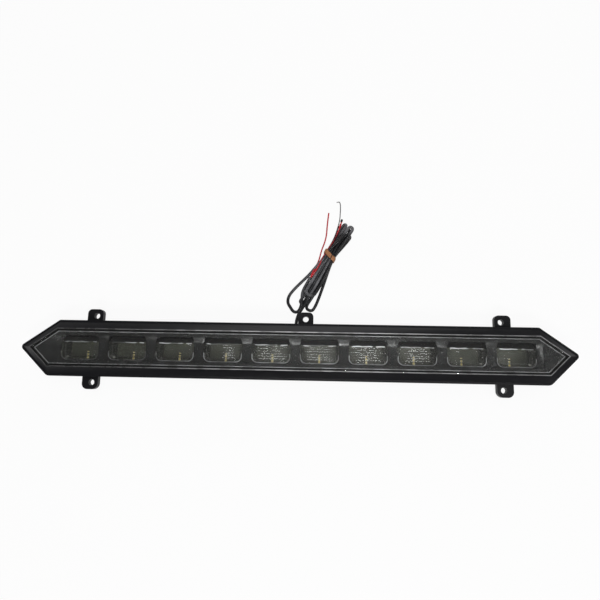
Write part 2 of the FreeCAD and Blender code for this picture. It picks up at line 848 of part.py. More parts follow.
def hank_tie():
    """Rubber band round the hank's waist, with room for the two wires that run under it."""
    inner = (NECK_HALF_WIDTH + TIE_ROOM + TIE_SIDE_GAP, NECK_HALF_HEIGHT + TIE_TOP_GAP)
    thickness = d.tie_thickness.number
    centre = TIE_PLACE - HANK_SIDE * TIE_ROOM - HANK_LINE * (d.tie_width.number / 2)
    hoops = [
        Part.Face(oval(centre, inner[0] + extra, inner[1] + extra)).extrude(HANK_LINE * d.tie_width.number)
        for extra in (thickness, 0)
    ]
    return shape_feature("hank_tie", hoops[0].cut(hoops[1]))


def lead_tube(hank):
    """The lead from inside the gland, down to the surface under the lamp and into the hank."""
    x = d.lead_shift.number
    z = d.lead_height.number
    start = (x, socket_edge.number, z)
    bend = (x, half_height.number - d.lip_width.number, z)
    points = vectors([start, bend, (0.4, 38.4, 7.4), (5.2, 48.6, 4.9), (9.4, 56.2, 4.4)])
    tube = tube_shape("lead", points, d.lead_diameter.number, sides=12)
    return shape_feature("lead_tube", tube.cut(hank.Shape))


def wire(label, points, diameter, *neighbours):
    """A wire end as a tube, trimmed back to the faces of what it comes out of."""
    tube = tube_shape(label, vectors(points), diameter.number)
    for neighbour in neighbours:
        tube = tube.cut(neighbour.Shape)
    return shape_feature(label, max(tube.Solids, key=lambda solid: solid.Volume))


def build():
    pieces = [rear_housing(), front_lens(), lens_seal(), inner_mask()]
    numbers = range(1, cell_total + 1)
    pieces += [optic(number) for number in numbers]
    pieces += [led_board()]
    pieces += [led(number) for number in numbers]
    pieces += [driver_chip(), input_diode(), lead_socket(), cable_grommet()]
    hank = lead_hank()
    pieces += [hank, hank_tie(), lead_tube(hank)]
    red_tied = wire("red_wire_tied", RED_TIED, d.wire_diameter, hank)
    black = wire("black_wire", BLACK_WIRE, d.wire_diameter, hank)
    pieces += [wire("red_wire_free", RED_FREE, d.wire_diameter, hank), red_tied, black]
    pieces += [wire("black_wire_end", BARE_END, d.bare_diameter, black)]
    return pieces


def write(pieces):
    """Checks every object of the document and writes each sub-part to its own file."""
    doc.recompute()
    for item in doc.Objects:
        if "Invalid" in item.State or "Error" in item.State:
            raise RuntimeError(f"{item.Name} failed: {item.State}")
    os.makedirs("parts", exist_ok=True)
    for piece in pieces:
        if piece.Shape.isNull() or not piece.Shape.isValid():
            raise RuntimeError(f"{piece.Label} has no valid shape")
    for piece in pieces:
        piece.Shape.exportStep(f"parts/{piece.Label}.step")
        print(f"{piece.Label}: {piece.Shape.Volume:.0f} cubic mm, {len(piece.Shape.Solids)} solid(s)")


write(build())
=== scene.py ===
"""Looks of the grille light: ten clear optics behind one flat clear lens, in a black tray with tabs,
with its lead folded into a tied hank above it."""

import bmesh
import bpy
import numpy as np
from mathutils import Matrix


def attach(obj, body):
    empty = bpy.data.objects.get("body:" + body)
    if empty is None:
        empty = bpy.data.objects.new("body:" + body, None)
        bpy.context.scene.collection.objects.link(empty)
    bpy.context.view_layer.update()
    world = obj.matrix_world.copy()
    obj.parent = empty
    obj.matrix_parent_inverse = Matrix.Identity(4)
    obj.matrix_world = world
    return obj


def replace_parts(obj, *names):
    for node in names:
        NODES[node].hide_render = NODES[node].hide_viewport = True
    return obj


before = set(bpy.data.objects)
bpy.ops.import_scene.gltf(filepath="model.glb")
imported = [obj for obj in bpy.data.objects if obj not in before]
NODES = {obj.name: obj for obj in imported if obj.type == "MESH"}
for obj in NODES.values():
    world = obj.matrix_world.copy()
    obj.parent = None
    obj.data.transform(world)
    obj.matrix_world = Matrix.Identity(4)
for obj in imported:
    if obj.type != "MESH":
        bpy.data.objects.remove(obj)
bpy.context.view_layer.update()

MM = 0.001
UPWARDS = np.array([0.0, 0.0, 1.0])
SHARP_ANGLE = np.radians(38)

# Optics, in mm: the row of cells, an optic's outline and the hollow behind it, and its front.
CELL_PITCH = 48.0
CELL_MIDDLES = {number: (number - 5.5) * CELL_PITCH for number in range(1, 11)}
OPTIC_OUTLINE = {
    "half_width": 19.15, "half_height": 11.85, "lower_round": 5.85, "bevel_width": 1.6, "bevel_height": 5.0,
}
HOLLOW_OUTLINE = {
    "half_width": 17.35, "half_height": 10.05, "lower_round": 4.05, "bevel_width": 1.2, "bevel_height": 4.2,
}
OPTIC_SEAT = 20.0
OPTIC_FRONT = 27.6
EDGE_ROUND = 0.9
CROWN = 0.25
CROWN_SPAN = 44.0
BROW_START = 5.85
BROW_SLOPE = 0.85
# Where an optic's black brow, which is painted shade, starts above its middle and how far it fades in.
SHADE_PAINT_START = 6.2
SHADE_PAINT_FADE = 0.6
FLUTE_PITCH = 2.5
FLUTE_DEPTH = 0.42
FLUTE_START = 11.85

# Hank on the floor, in mm: its foot by the lamp, and its directions along and across. HANK_MIDDLE makes
# the distance across come to nothing on the hank's middle line.
HANK_FOOT = np.array([6.2, 49.7, 0.0])
HANK_LINE = np.array([0.468, 0.884, 0.0])
HANK_SIDE = np.array([0.884, -0.468, 0.0])
HANK_MIDDLE = 17.78
LEAD_DIAMETER = 3.3
WIRE_DIAMETER = 1.5


# Shader values


class Value:
    """A shader socket: arithmetic on it adds Math nodes."""

    def __init__(self, nodes, socket):
        self.nodes = nodes
        self.socket = socket

    def maths(self, operation, first, second):
        return self.nodes.add("Math", {"operation": operation}, {0: first, 1: second})

    def __add__(self, other):
        return self.maths("ADD", self, other)

    def __radd__(self, other):
        return self.maths("ADD", other, self)

    def __sub__(self, other):
        return self.maths("SUBTRACT", self, other)

    def __rsub__(self, other):
        return self.maths("SUBTRACT", other, self)

    def __mul__(self, other):
        return self.maths("MULTIPLY", self, other)

    def __rmul__(self, other):
        return self.maths("MULTIPLY", other, self)


class Nodes:
    """The node tree of one material, or of the world."""

    def __init__(self, tree):
        tree.nodes.clear()
        self.tree = tree

    def add(self, kind, settings=None, sockets=None, out=0):
        """A node of that kind: its settings are set first, then its sockets get values or links."""
        node = self.tree.nodes.new("ShaderNode" + kind)
        for name, setting in (settings or {}).items():
            setattr(node, name, setting)
        for name, value in (sockets or {}).items():
            if isinstance(value, Value):
                self.tree.links.new(value.socket, node.inputs[name])
            else:
                node.inputs[name].default_value = value
        return Value(self, node.outputs[out]) if node.outputs else None

    def place(self, stretch=(1, 1, 1)):
        """Object coordinates in metres, stretched along the three axes."""
        position = self.add("TexCoord", out="Object")
        return self.add("VectorMath", {"operation": "MULTIPLY"}, {0: position, 1: stretch})

    def axis(self, name):
        """One Object coordinate, in metres."""
        return self.add("SeparateXYZ", None, {0: self.place()}, out=name)

    def noise(self, scale, detail=2.0, stretch=(1, 1, 1)):
        """Cloudy values from 0 to 1; the scale is in clouds to the metre."""
        sockets = {"Vector": self.place(stretch), "Scale": scale, "Detail": detail}
        return self.add("TexNoise", None, sockets)

    def steep(self, value, low, high):
        """0 below low, 1 above high, and a smooth rise between them."""
        settings = {"interpolation_type": "SMOOTHSTEP"}
        return self.add("MapRange", settings, {"Value": value, "From Min": low, "From Max": high})

    def blend(self, share, first, second):
        """A colour between two colours."""
        return self.add("Mix", {"data_type": "RGBA"}, {0: share, 6: first, 7: second}, out=2)

    def bump(self, height):
        """A bump whose height is in metres."""
        return self.add("Bump", None, {"Height": height, "Distance": 1.0, "Strength": 1.0})

    def surface(self, shader):
        """The shader that the material shows."""
        self.add("OutputMaterial", None, {"Surface": shader})


def new_finish(name):
    """An empty material and its node tree."""
    material = bpy.data.materials.new(name)
    material.use_nodes = True
    return material, Nodes(material.node_tree)


# Finishes


def grey(level):
    """A grey of that brightness."""
    return (level, level, level, 1)


def dimmed(colour, share):
    """A colour with its red, green and blue brought down to a share."""
    return tuple(share * part for part in colour[:3]) + (1.0,)


def moulded(name, dark, light, roughness, grain, grain_depth, specular, wave=0.0):
    """Moulded plastic: cloudy colour and gloss, a fine grain, and slow waves in the moulded faces. The depths
    of the grain and the waves are in metres."""
    material, nodes = new_finish(name)
    cloud = nodes.noise(34, 4)
    rub = nodes.noise(260, 5, (1, 1, 2))
    height = nodes.noise(grain, 2) * grain_depth + nodes.noise(46, 1) * wave
    sockets = {
        "Base Color": nodes.blend(cloud * 0.7 + rub * 0.3, dark, light),
        "Roughness": roughness + (cloud - 0.5) * 0.16 + (rub - 0.5) * 0.12,
        "Normal": nodes.bump(height),
        "Specular IOR Level": specular,
    }
    nodes.surface(nodes.add("BsdfPrincipled", None, sockets))
    return material


def clear(name, tint, roughness, ior, ripple, ripple_scale):
    """Clear moulded plastic that lets straight light through: shadow rays pass, the rest is refracted.
    A slow ripple in its faces and a faint haze break up what it mirrors."""
    material, nodes = new_finish(name)
    haze = nodes.noise(90, 4)
    sockets = {
        "Base Color": nodes.blend(haze, tint, dimmed(tint, 0.97)),
        "Roughness": roughness + haze * 0.02,
        "Normal": nodes.bump(nodes.noise(ripple_scale, 2) * ripple),
        "IOR": ior,
        "Transmission Weight": 1.0,
    }
    glass = nodes.add("BsdfPrincipled", None, sockets)
    passing = nodes.add("BsdfTransparent", None, {"Color": tint})
    shadow = nodes.add("LightPath", out="Is Shadow Ray")
    nodes.surface(nodes.add("MixShader", None, {0: shadow, 1: glass, 2: passing}))
    return material


def fluted_clear(name, tint):
    """Clear optic: smooth clear plastic with a thin frosting in its flutes, streaked along them and stronger
    towards the lamp's right as painted light, and a black brow above its ridge that is painted shade. Shadow
    rays pass through all of it."""
    material, nodes = new_finish(name)
    y = nodes.axis("Y")
    flute_turn = (y + FLUTE_START * MM) * (2 * np.pi / (FLUTE_PITCH * MM))
    groove = 0.5 - 0.5 * nodes.add("Math", {"operation": "COSINE"}, {0: flute_turn})
    streak = nodes.steep(nodes.noise(240, 3, (0.12, 1, 1)), 0.3, 0.75)
    cloud = nodes.noise(60, 2)
    smooth = {
        "Base Color": nodes.blend(cloud, tint, dimmed(tint, 0.96)),
        "Roughness": 0.03 + cloud * 0.03,
        "IOR": 1.5,
        "Transmission Weight": 1.0,
    }
    frost = {
        "Base Color": nodes.blend(streak, (0.30, 0.30, 0.27, 1), (0.62, 0.62, 0.58, 1)),
        "Roughness": 0.35 + streak * 0.2,
    }
    # Black brow over the ridge: painted shade, a dark sheet where the window's upper wall lies in shade.
    black = {
        "Base Color": nodes.blend(cloud, grey(0.011), grey(0.019)),
        "Roughness": 0.3 + cloud * 0.1,
        "Specular IOR Level": 0.3,
    }
    clear_part = nodes.add("BsdfPrincipled", None, smooth)
    frosted = nodes.add("BsdfPrincipled", None, frost)
    brow = nodes.add("BsdfPrincipled", None, black)
    passing = nodes.add("BsdfTransparent", None, {"Color": tint})
    # The frosting grows towards the lamp's right: painted light.
    painted_light_rightwards = 0.35 + 0.65 * nodes.steep(nodes.axis("X"), -0.22, 0.06)
    share = (0.005 + groove * streak * 0.055) * painted_light_rightwards
    front = nodes.add("MixShader", None, {0: share, 1: clear_part, 2: frosted})
    above = nodes.steep(y, SHADE_PAINT_START * MM, (SHADE_PAINT_START + SHADE_PAINT_FADE) * MM)
    whole = nodes.add("MixShader", None, {0: above, 1: front, 2: brow})
    shadow = nodes.add("LightPath", out="Is Shadow Ray")
    nodes.surface(nodes.add("MixShader", None, {0: shadow, 1: whole, 2: passing}))
    return material


def painted_highlight_edge(name, dark, light, ragged, left_share, right_share, evenness):
    """Painted highlight along an edge of clear plastic: a pale, glossy bead, uneven along its length, and
    down to the given shares of its light colour towards the lamp's left and right ends, where the painted
    highlight fades."""
    material, nodes = new_finish(name)
    x = nodes.axis("X")
    patch = nodes.steep(nodes.noise(55, 3), 0.5 - ragged / 2, 0.5 + ragged / 2)
    left = left_share + (1 - left_share) * nodes.steep(x, -0.22, 0.03)
    right = 1 - (1 - right_share) * nodes.steep(x, 0.06, 0.19)
    share = (evenness + (1 - evenness) * patch) * left * right
    sockets = {
        "Base Color": nodes.blend(share, grey(dark), (light, light, light * 1.02, 1)),
        "Roughness": 0.22 + 0.2 * patch,
        "Normal": nodes.bump(nodes.noise(900, 2) * 2e-5),
    }
    nodes.surface(nodes.add("BsdfPrincipled", None, sockets))
    return material


def led_face_painted_glow(name):
    """Phosphor: warm yellow and finely speckled, with a faint emission that is a painted glow."""
    material, nodes = new_finish(name)
    fleck = nodes.noise(3200, 3)
    sockets = {
        "Base Color": nodes.blend(fleck, (0.72, 0.50, 0.07, 1), (0.95, 0.80, 0.25, 1)),
        "Roughness": 0.35 + fleck * 0.2,
        "Normal": nodes.bump(fleck * 1.5e-5),
        "Emission Color": nodes.blend(fleck, (0.8, 0.60, 0.1, 1), (1.0, 0.86, 0.3, 1)),
        "Emission Strength": 0.2,
    }
    nodes.surface(nodes.add("BsdfPrincipled", None, sockets))
    return material


def board_face(name):
    """Dark solder mask over copper: thin tracks run along the board and show as faint ridges."""
    material, nodes = new_finish(name)
    wave = {"Vector": nodes.place(), "Scale": 130, "Distortion": 1.2}
    along = nodes.add("TexWave", {"bands_direction": "Y"}, wave)
    track = nodes.steep(along, 0.55, 0.75)
    cloud = nodes.noise(120, 3)
    low = (0.02, 0.022, 0.016, 1)
    raised = (0.05, 0.052, 0.036, 1)
    sockets = {
        "Base Color": nodes.blend(track * 0.6 + cloud * 0.3, low, raised),
        "Roughness": 0.42 + cloud * 0.15,
        "Normal": nodes.bump(track * 3e-5),
    }
    nodes.surface(nodes.add("BsdfPrincipled", None, sockets))
    return material


def cord_skin(name, dark, light, painted_tone, stretches, roughness, low_paint_share):
    """Drawn plastic skin of a cord, painted to a second tone over stretches of its run to stand in for light:
    a painted highlight where that tone is lighter, painted shade where it is darker. The painted tone is
    weaker, down to the given share, where the cord lies low. Each stretch is in metres: the Y where it
    starts, is full, begins to fade and ends, and how far to the right of the hank's middle it begins to fade
    and is gone."""
    material, nodes = new_finish(name)
    y = nodes.axis("Y")
    right = nodes.axis("X") * HANK_SIDE[0] + y * HANK_SIDE[1] + HANK_MIDDLE * MM
    cloud = nodes.noise(90, 3)
    rub = nodes.noise(520, 4)
    shares = []
    for start, full, fade, end, right_fade, right_end in stretches:
        span = nodes.steep(y, start, full) * (1 - nodes.steep(y, fade, end))
        shares.append(span * (1 - nodes.steep(right, right_fade, right_end)))
    # The painted tone is full on strands that lie high and down to the low share on those beneath: painted
    # light on top, painted shade below.
    raised = low_paint_share + (1 - low_paint_share) * nodes.steep(nodes.axis("Z"), 0.0035, 0.0058)
    share = sum(shares[1:], shares[0]) * (0.45 + 0.55 * nodes.steep(cloud, 0.3, 0.65)) * raised
    sockets = {
        "Base Color": nodes.blend(share, nodes.blend(rub, dark, light), painted_tone),
        "Roughness": roughness + (rub - 0.5) * 0.2,
        "Normal": nodes.bump(rub * 1.5e-5),
        "Specular IOR Level": 0.6,
    }
    nodes.surface(nodes.add("BsdfPrincipled", None, sockets))
    return material


def metal_strands(name):
    """Tinned copper: grey, streaked and dulled by handling."""
    material, nodes = new_finish(name)
    streak = nodes.noise(900, 4)
    sockets = {
        "Base Color": nodes.blend(streak, grey(0.12), (0.36, 0.35, 0.35, 1)),
        "Roughness": 0.3 + streak * 0.2,
        "Metallic": 0.75 + streak * 0.2,
        "Normal": nodes.bump(streak * 1e-5),
    }
    nodes.surface(nodes.add("BsdfPrincipled", None, sockets))
    return material


def band_rubber(name, crease_normal, crease_offset):
    """Tan rubber: streaked along the band, with painted shade where it is nipped in a crease."""
    material, nodes = new_finish(name)
    streak = nodes.noise(420, 5, (1, 1, 0.4))
    cloud = nodes.noise(150, 2)
    dot = {"operation": "DOT_PRODUCT"}
    across = nodes.add("VectorMath", dot, {0: nodes.place(), 1: crease_normal}, out="Value")
    away = nodes.add("Math", {"operation": "ABSOLUTE"}, {0: across - crease_offset})
    outside_painted_crease_shade = nodes.steep(away, 0.0002, 0.0008)
    tan = nodes.blend(streak * 0.6 + cloud * 0.4, (0.20, 0.07, 0.025, 1), (0.46, 0.20, 0.08, 1))
    sockets = {
        # Near black at the crease: painted shade.
        "Base Color": nodes.blend(outside_painted_crease_shade, (0.02, 0.01, 0.006, 1), tan),
        "Roughness": 0.45 + cloud * 0.2,
        "Normal": nodes.bump(streak * 6e-5),
    }
    nodes.surface(nodes.add("BsdfPrincipled", None, sockets))
    return material


def floor_white(name):
    """Pale floor: nearly white to the camera and through clear plastic, with a little of the shadow, and
    partly white in mirrors."""
    material, nodes = new_finish(name)
    cloud = nodes.noise(3, 2)
    sockets = {
        "Base Color": nodes.blend(cloud, grey(0.8), grey(0.82)),
        "Roughness": 0.9,
        "Specular IOR Level": 0.0,
    }
    matt = nodes.add("BsdfPrincipled", None, sockets)
    white = nodes.add("Emission", None, {"Color": grey(1), "Strength": 1.0})
    through = nodes.add("LightPath", out="Is Transmission Ray")
    seen = nodes.add("LightPath", out="Is Camera Ray") + through
    mirrored = nodes.add("LightPath", out="Is Glossy Ray")
    share = seen * 0.92 + mirrored * 0.4
    nodes.surface(nodes.add("MixShader", None, {0: share, 1: matt, 2: white}))
    return material


black_tray = moulded(
    "black_tray", (0.005, 0.005, 0.006, 1), (0.010, 0.010, 0.012, 1),
    roughness=0.34, grain=1900, grain_depth=7e-6, specular=0.24, wave=2.2e-4,
)
black_mask = moulded(
    "black_mask", grey(0.006), grey(0.012),
    roughness=0.25, grain=2600, grain_depth=4e-6, specular=0.5, wave=5e-5,
)
black_rubber = moulded(
    "black_rubber", grey(0.010), (0.022, 0.022, 0.021, 1),
    roughness=0.6, grain=3000, grain_depth=1.2e-5, specular=0.3,
)
chip_black = moulded(
    "chip_black", grey(0.012), grey(0.03),
    roughness=0.55, grain=4000, grain_depth=1.5e-5, specular=0.4,
)
socket_nylon = moulded(
    "socket_nylon", (0.55, 0.53, 0.47, 1), (0.7, 0.68, 0.6, 1),
    roughness=0.5, grain=2600, grain_depth=6e-6, specular=0.4,
)
led_ceramic = moulded(
    "led_ceramic", (0.55, 0.52, 0.42, 1), (0.75, 0.72, 0.6, 1),
    roughness=0.5, grain=4000, grain_depth=6e-6, specular=0.4,
)
black_core = moulded(
    "black_core", grey(0.008), grey(0.02),
    roughness=0.4, grain=1500, grain_depth=1e-5, specular=0.5,
)
red_core = moulded(
    "red_core", (0.42, 0.010, 0.016, 1), (0.62, 0.03, 0.04, 1),
    roughness=0.36, grain=1500, grain_depth=1.2e-5, specular=0.5,
)
# Painted highlights on the black sheath: on the strands left of the hank's middle in its lower half, and on
# the fold tops at its far end.
PAINTED_HIGHLIGHTS = [(0.054, 0.066, 0.094, 0.106, 0.0022, 0.0036), (0.125, 0.132, 0.19, 0.2, 0.02, 0.03)]
black_sheath = cord_skin(
    "black_sheath", (0.004, 0.004, 0.005, 1), (0.016, 0.016, 0.018, 1), (0.15, 0.15, 0.16, 1),
    stretches=PAINTED_HIGHLIGHTS, roughness=0.36, low_paint_share=0.3,
)
# Painted shade on the tied red wire from the band nearly to its end.
SHADED = [(0.104, 0.112, 0.126, 0.134, 0.02, 0.03)]
red_tied_core = cord_skin(
    "red_tied_core", (0.40, 0.010, 0.016, 1), (0.60, 0.03, 0.04, 1), (0.07, 0.004, 0.010, 1),
    stretches=SHADED, roughness=0.36, low_paint_share=1.0,
)
lens_clear = clear(
    "lens_clear", (0.97, 0.98, 0.975, 1), roughness=0.015, ior=1.49, ripple=1.0e-5, ripple_scale=60,
)
optic_clear = fluted_clear("optic_clear", (0.93, 0.93, 0.89, 1))
# Painted highlights along the lens edges and the optics' ridges and lips.
lens_outer_highlight = painted_highlight_edge(
    "lens_outer_highlight", dark=0.03, light=0.5, ragged=0.3, left_share=0.06, right_share=0.4, evenness=0.45,
)
lens_inner_highlight = painted_highlight_edge(
    "lens_inner_highlight", dark=0.04, light=0.34, ragged=0.3, left_share=0.65, right_share=0.8, evenness=0.5,
)
ridge_highlight = painted_highlight_edge(
    "ridge_highlight", dark=0.02, light=0.85, ragged=0.25, left_share=0.3, right_share=0.75, evenness=0.12,
)
lip_highlight = painted_highlight_edge(
    "lip_highlight", dark=0.03, light=0.5, ragged=0.4, left_share=0.15, right_share=0.5, evenness=0.35,
)
phosphor = led_face_painted_glow("phosphor")
board_mask = board_face("board_mask")
tinned = metal_strands("tinned")
floor_finish = floor_white("floor_finish")


# Meshes


def new_piece(name, mesh, finish):
    """An object at the origin, with its finish, that rides with the lamp."""
    piece = bpy.data.objects.new(name, mesh)
    bpy.context.scene.collection.objects.link(piece)
    piece.data.materials.clear()
    piece.data.materials.append(finish)
    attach(piece, "root")
    return piece


def grid_faces(rows, columns, loop_rows=False):
    """Four-sided faces between neighbouring rows of a grid whose columns close into a ring."""
    row = np.arange(rows if loop_rows else rows - 1)[:, None]
    column = np.arange(columns)[None, :]
    after_row = (row + 1) % rows
    after_column = (column + 1) % columns
    corners = [row * columns + column, after_row * columns + column]
    corners += [after_row * columns + after_column, row * columns + after_column]
    return np.stack(corners, axis=-1).reshape(-1, 4)


def smooth_faces(mesh):
    """Shade a mesh smoothly, apart from its sharp edges."""
    mesh.polygons.foreach_set("use_smooth", np.ones(len(mesh.polygons), bool))
    mesh.set_sharp_from_angle(angle=SHARP_ANGLE)


def grid_mesh(name, points, loop_rows=False):
    """A closed surface from a grid of points in mm: its columns close into a ring, and its rows either
    close too or end in flat caps."""
    rows, columns = points.shape[:2]
    faces = grid_faces(rows, columns, loop_rows).tolist()
    if not loop_rows:
        faces.append(list(range(columns)))
        faces.append(list(range(rows * columns - 1, (rows - 1) * columns - 1, -1)))
    mesh = bpy.data.meshes.new(name)
    mesh.from_pydata((points.reshape(-1, 3) * MM).tolist(), [], faces)
    smooth_faces(mesh)
    return mesh


def eased_copy(node, finish, edge):
    """A copy of a solid with its loose triangles merged, its flat faces joined and its edges eased."""
    mesh = NODES[node].data.copy()
    same_place = 1e-6
    same_face = np.radians(0.6)
    shell = bmesh.new()
    shell.from_mesh(mesh)
    bmesh.ops.remove_doubles(shell, verts=shell.verts, dist=same_place)
    bmesh.ops.dissolve_limit(shell, angle_limit=same_face, verts=shell.verts, edges=shell.edges)
    shell.to_mesh(mesh)
    shell.free()
    smooth_faces(mesh)
    piece = new_piece(node + "_finished", mesh, finish)
    ease = piece.modifiers.new("eased_edges", "BEVEL")
    ease.width = edge * MM
    ease.segments = 2
    ease.limit_method = "ANGLE"
    ease.angle_limit = SHARP_ANGLE
    ease.harden_normals = True
    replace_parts(piece, node)


def directions_across(line):
    """At each point of a line, the level direction across it and the one that stands on both."""
    ahead = np.gradient(line, axis=0)
    ahead /= np.linalg.norm(ahead, axis=1)[:, None]
    side = np.cross(ahead, UPWARDS)
    side /= np.linalg.norm(side, axis=1)[:, None]
    return side, np.cross(side, ahead)


def circles(side, top, columns):
    """A circle of unit directions at each point of a line, from its two directions across."""
    around = np.linspace(0, 2 * np.pi, columns, endpoint=False)[None, :, None]
    return np.cos(around) * side[:, None, :] + np.sin(around) * top[:, None, :]


# Optics


def window_radius(angle, half_width, half_height, lower_round, bevel_width, bevel_height):
    """Distance from a window's middle to its outline at each angle: the nearest crossing of the ray with
    the straight sides, the two upper bevels and the two lower quarter rounds."""
    across = np.cos(angle)
    up = np.sin(angle)
    tiny = 1e-9
    reach = half_width / np.maximum(np.abs(across), tiny)
    reach = np.minimum(reach, half_height / np.maximum(np.abs(up), tiny))
    bevel_reach = half_width * bevel_height + (half_height - bevel_height) * bevel_width
    bevel_share = np.abs(across) * bevel_height + up * bevel_width
    to_bevel = bevel_reach / np.maximum(bevel_share, tiny)
    reach = np.where(bevel_share > tiny, np.minimum(reach, to_bevel), reach)
    centre_x = half_width - lower_round
    centre_y = -(half_height - lower_round)
    along = np.abs(across) * centre_x + up * centre_y
    inside = along ** 2 - (centre_x ** 2 + centre_y ** 2 - lower_round ** 2)
    round_reach = along + np.sqrt(np.maximum(inside, 0.0))
    at_corner = (np.abs(across) * reach > centre_x) & (up * reach < centre_y)
    return np.where(at_corner, round_reach, reach)


def crown_height(x):
    """How far an optic's front bulges, by the distance from its middle."""
    return CROWN * np.cos(np.pi * x / CROWN_SPAN)


def optic_front(x, y, inset):
    """Height of an optic's front: slightly crowned, with cosine flutes across it below the brow, a brow that
    slopes down above its ridge, and a quarter-round edge within the last bit of inset."""
    ridge_softness = 0.12
    brow_gap = 0.8
    plain_border = 1.2
    border_fade = 1.6
    past = y - BROW_START
    brow = 0.5 * (past + np.sqrt(past ** 2 + ridge_softness)) * BROW_SLOPE
    below_brow = np.clip((BROW_START - brow_gap - y) / brow_gap, 0, 1)
    fade = below_brow * np.clip((inset - plain_border) / border_fade, 0, 1)
    wave = 0.5 - 0.5 * np.cos(2 * np.pi * (y + FLUTE_START) / FLUTE_PITCH)
    flutes = FLUTE_DEPTH * wave * fade
    shy = np.clip(1 - inset / EDGE_ROUND, 0, 1)
    edge = EDGE_ROUND * (1 - np.sqrt(np.maximum(1 - shy ** 2, 0)))
    return OPTIC_FRONT - CROWN + crown_height(x) - brow - flutes - edge


def optic_points(middle):
    """Grid of an optic: rings that grow from its middle over the front to the edge, go down the side
    wall, turn in along the seat and climb the hollow back to the middle, each following the window."""
    angle = np.linspace(0, 2 * np.pi, 144, endpoint=False)
    outer = window_radius(angle, **OPTIC_OUTLINE)
    inner = window_radius(angle, **HOLLOW_OUTLINE)
    front = np.concatenate([np.linspace(0.015, 0.9, 40), np.linspace(0.91, 1.0, 14)])[:, None]
    front_x = front * outer * np.cos(angle)
    front_y = front * outer * np.sin(angle)
    front_z = optic_front(front_x, front_y, (1 - front) * outer)
    rim_z = front_z[-1]
    wall_drop = np.array([0.5, 0.97, 1.0])[:, None]
    wall_z = rim_z + (OPTIC_SEAT - rim_z) * wall_drop
    wall = np.array([1.0, 1.0, 0.994])[:, None] * outer
    hollow_rise = np.array([0.0, 1.7, 2.1, 2.3, 2.5, 2.6])[:, None]
    hollow_z = OPTIC_SEAT + hollow_rise + 0 * angle
    hollow = np.array([1.0, 1.0, 0.96, 0.6, 0.25, 0.02])[:, None] * inner
    x = np.concatenate([front_x, wall * np.cos(angle), hollow * np.cos(angle)])
    y = np.concatenate([front_y, wall * np.sin(angle), hollow * np.sin(angle)])
    z = np.concatenate([front_z, wall_z, hollow_z])
    return np.stack([x + middle, y, z], axis=-1)


for number, cell_middle in CELL_MIDDLES.items():
    optic_name = f"optic_{number:02d}"
    optic_mesh = grid_mesh(optic_name + "_fluted", optic_points(cell_middle))
    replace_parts(new_piece(optic_name + "_fluted", optic_mesh, optic_clear), optic_name)


def bead_points(path, radius):
    """A round bead in mm: a circle carried along a path of points and tapered over its end points."""
    index = np.arange(len(path))
    from_end = np.minimum(index, index[::-1])
    taper = np.minimum(1.0, from_end / 3 + 0.25)
    ring = circles(*directions_across(path), columns=10)
    return path[:, None, :] + radius * taper[:, None, None] * ring


# Beads that carry painted highlights along an optic's edges, in mm: the ridge under the brow, in two
# stretches about a gap that lies further left from cell to cell and is at GAP_PLACE in cell GAP_CELL, and the
# lip along the foot.
# RIDGE_TURN is in radians to the mm.
RIDGE_START = -16.4
RIDGE_END = 16.6
RIDGE_RADIUS = 0.5
RIDGE_SINK = 0.2
RIDGE_LIFT = 0.15
RIDGE_WAVE = 0.14
RIDGE_TURN = 0.55
GAP_CELL = 6
GAP_PLACE = 7.0
GAP_STEP = 0.9
GAP_LEFT = 1.6
GAP_RIGHT = 1.4
LIP_RADIUS = 0.42
LIP_SINK = 0.35
LIP_SHAPE = {"half_width": 18.7, "low": -11.4, "corner": 5.4, "top": -2.5}


def ridge_path(middle, start, end, wave):
    """Line along an optic's ridge, slightly wavy."""
    x = np.linspace(start, end, 40)
    y = BROW_START + RIDGE_LIFT + RIDGE_WAVE * np.sin(x * RIDGE_TURN + wave)
    z = OPTIC_FRONT - RIDGE_SINK + crown_height(x)
    return np.stack([x + middle, y, z], axis=-1)


def lip_path(middle, half_width, low, corner, top):
    """U-shaped line along an optic's lower edge: down one side, round a corner, along the foot and up."""
    turn = np.linspace(np.pi, 1.5 * np.pi, 14)
    drop = np.linspace(top, low + corner, 9)[:-1]
    side_x = np.concatenate([np.full(len(drop), -half_width), -half_width + corner + corner * np.cos(turn)])
    side_y = np.concatenate([drop, low + corner + corner * np.sin(turn)])
    foot_x = np.linspace(-half_width + corner, half_width - corner, 20)[1:-1]
    x = np.concatenate([side_x, foot_x, -side_x[::-1]]) + middle
    y = np.concatenate([side_y, np.full(len(foot_x), low), side_y[::-1]])
    return np.stack([x, y, 0 * x + OPTIC_FRONT - LIP_SINK], axis=-1)


def add_optic_bead(name, path, radius, finish):
    """A bead along a path on an optic, carrying a painted highlight."""
    new_piece(name, grid_mesh(name, bead_points(path, radius)[:, ::-1]), finish)


for number, cell_middle in CELL_MIDDLES.items():
    optic_name = f"optic_{number:02d}"
    gap = GAP_PLACE - GAP_STEP * (number - GAP_CELL)
    left_ridge = ridge_path(cell_middle, RIDGE_START, gap - GAP_LEFT, number)
    right_ridge = ridge_path(cell_middle, gap + GAP_RIGHT, RIDGE_END, number)
    add_optic_bead(optic_name + "_ridge_highlight_left", left_ridge, RIDGE_RADIUS, ridge_highlight)
    add_optic_bead(optic_name + "_ridge_highlight_right", right_ridge, RIDGE_RADIUS, ridge_highlight)
    add_optic_bead(optic_name + "_lip_highlight", lip_path(cell_middle, **LIP_SHAPE), LIP_RADIUS, lip_highlight)


# Painted highlights along the edges of the lens

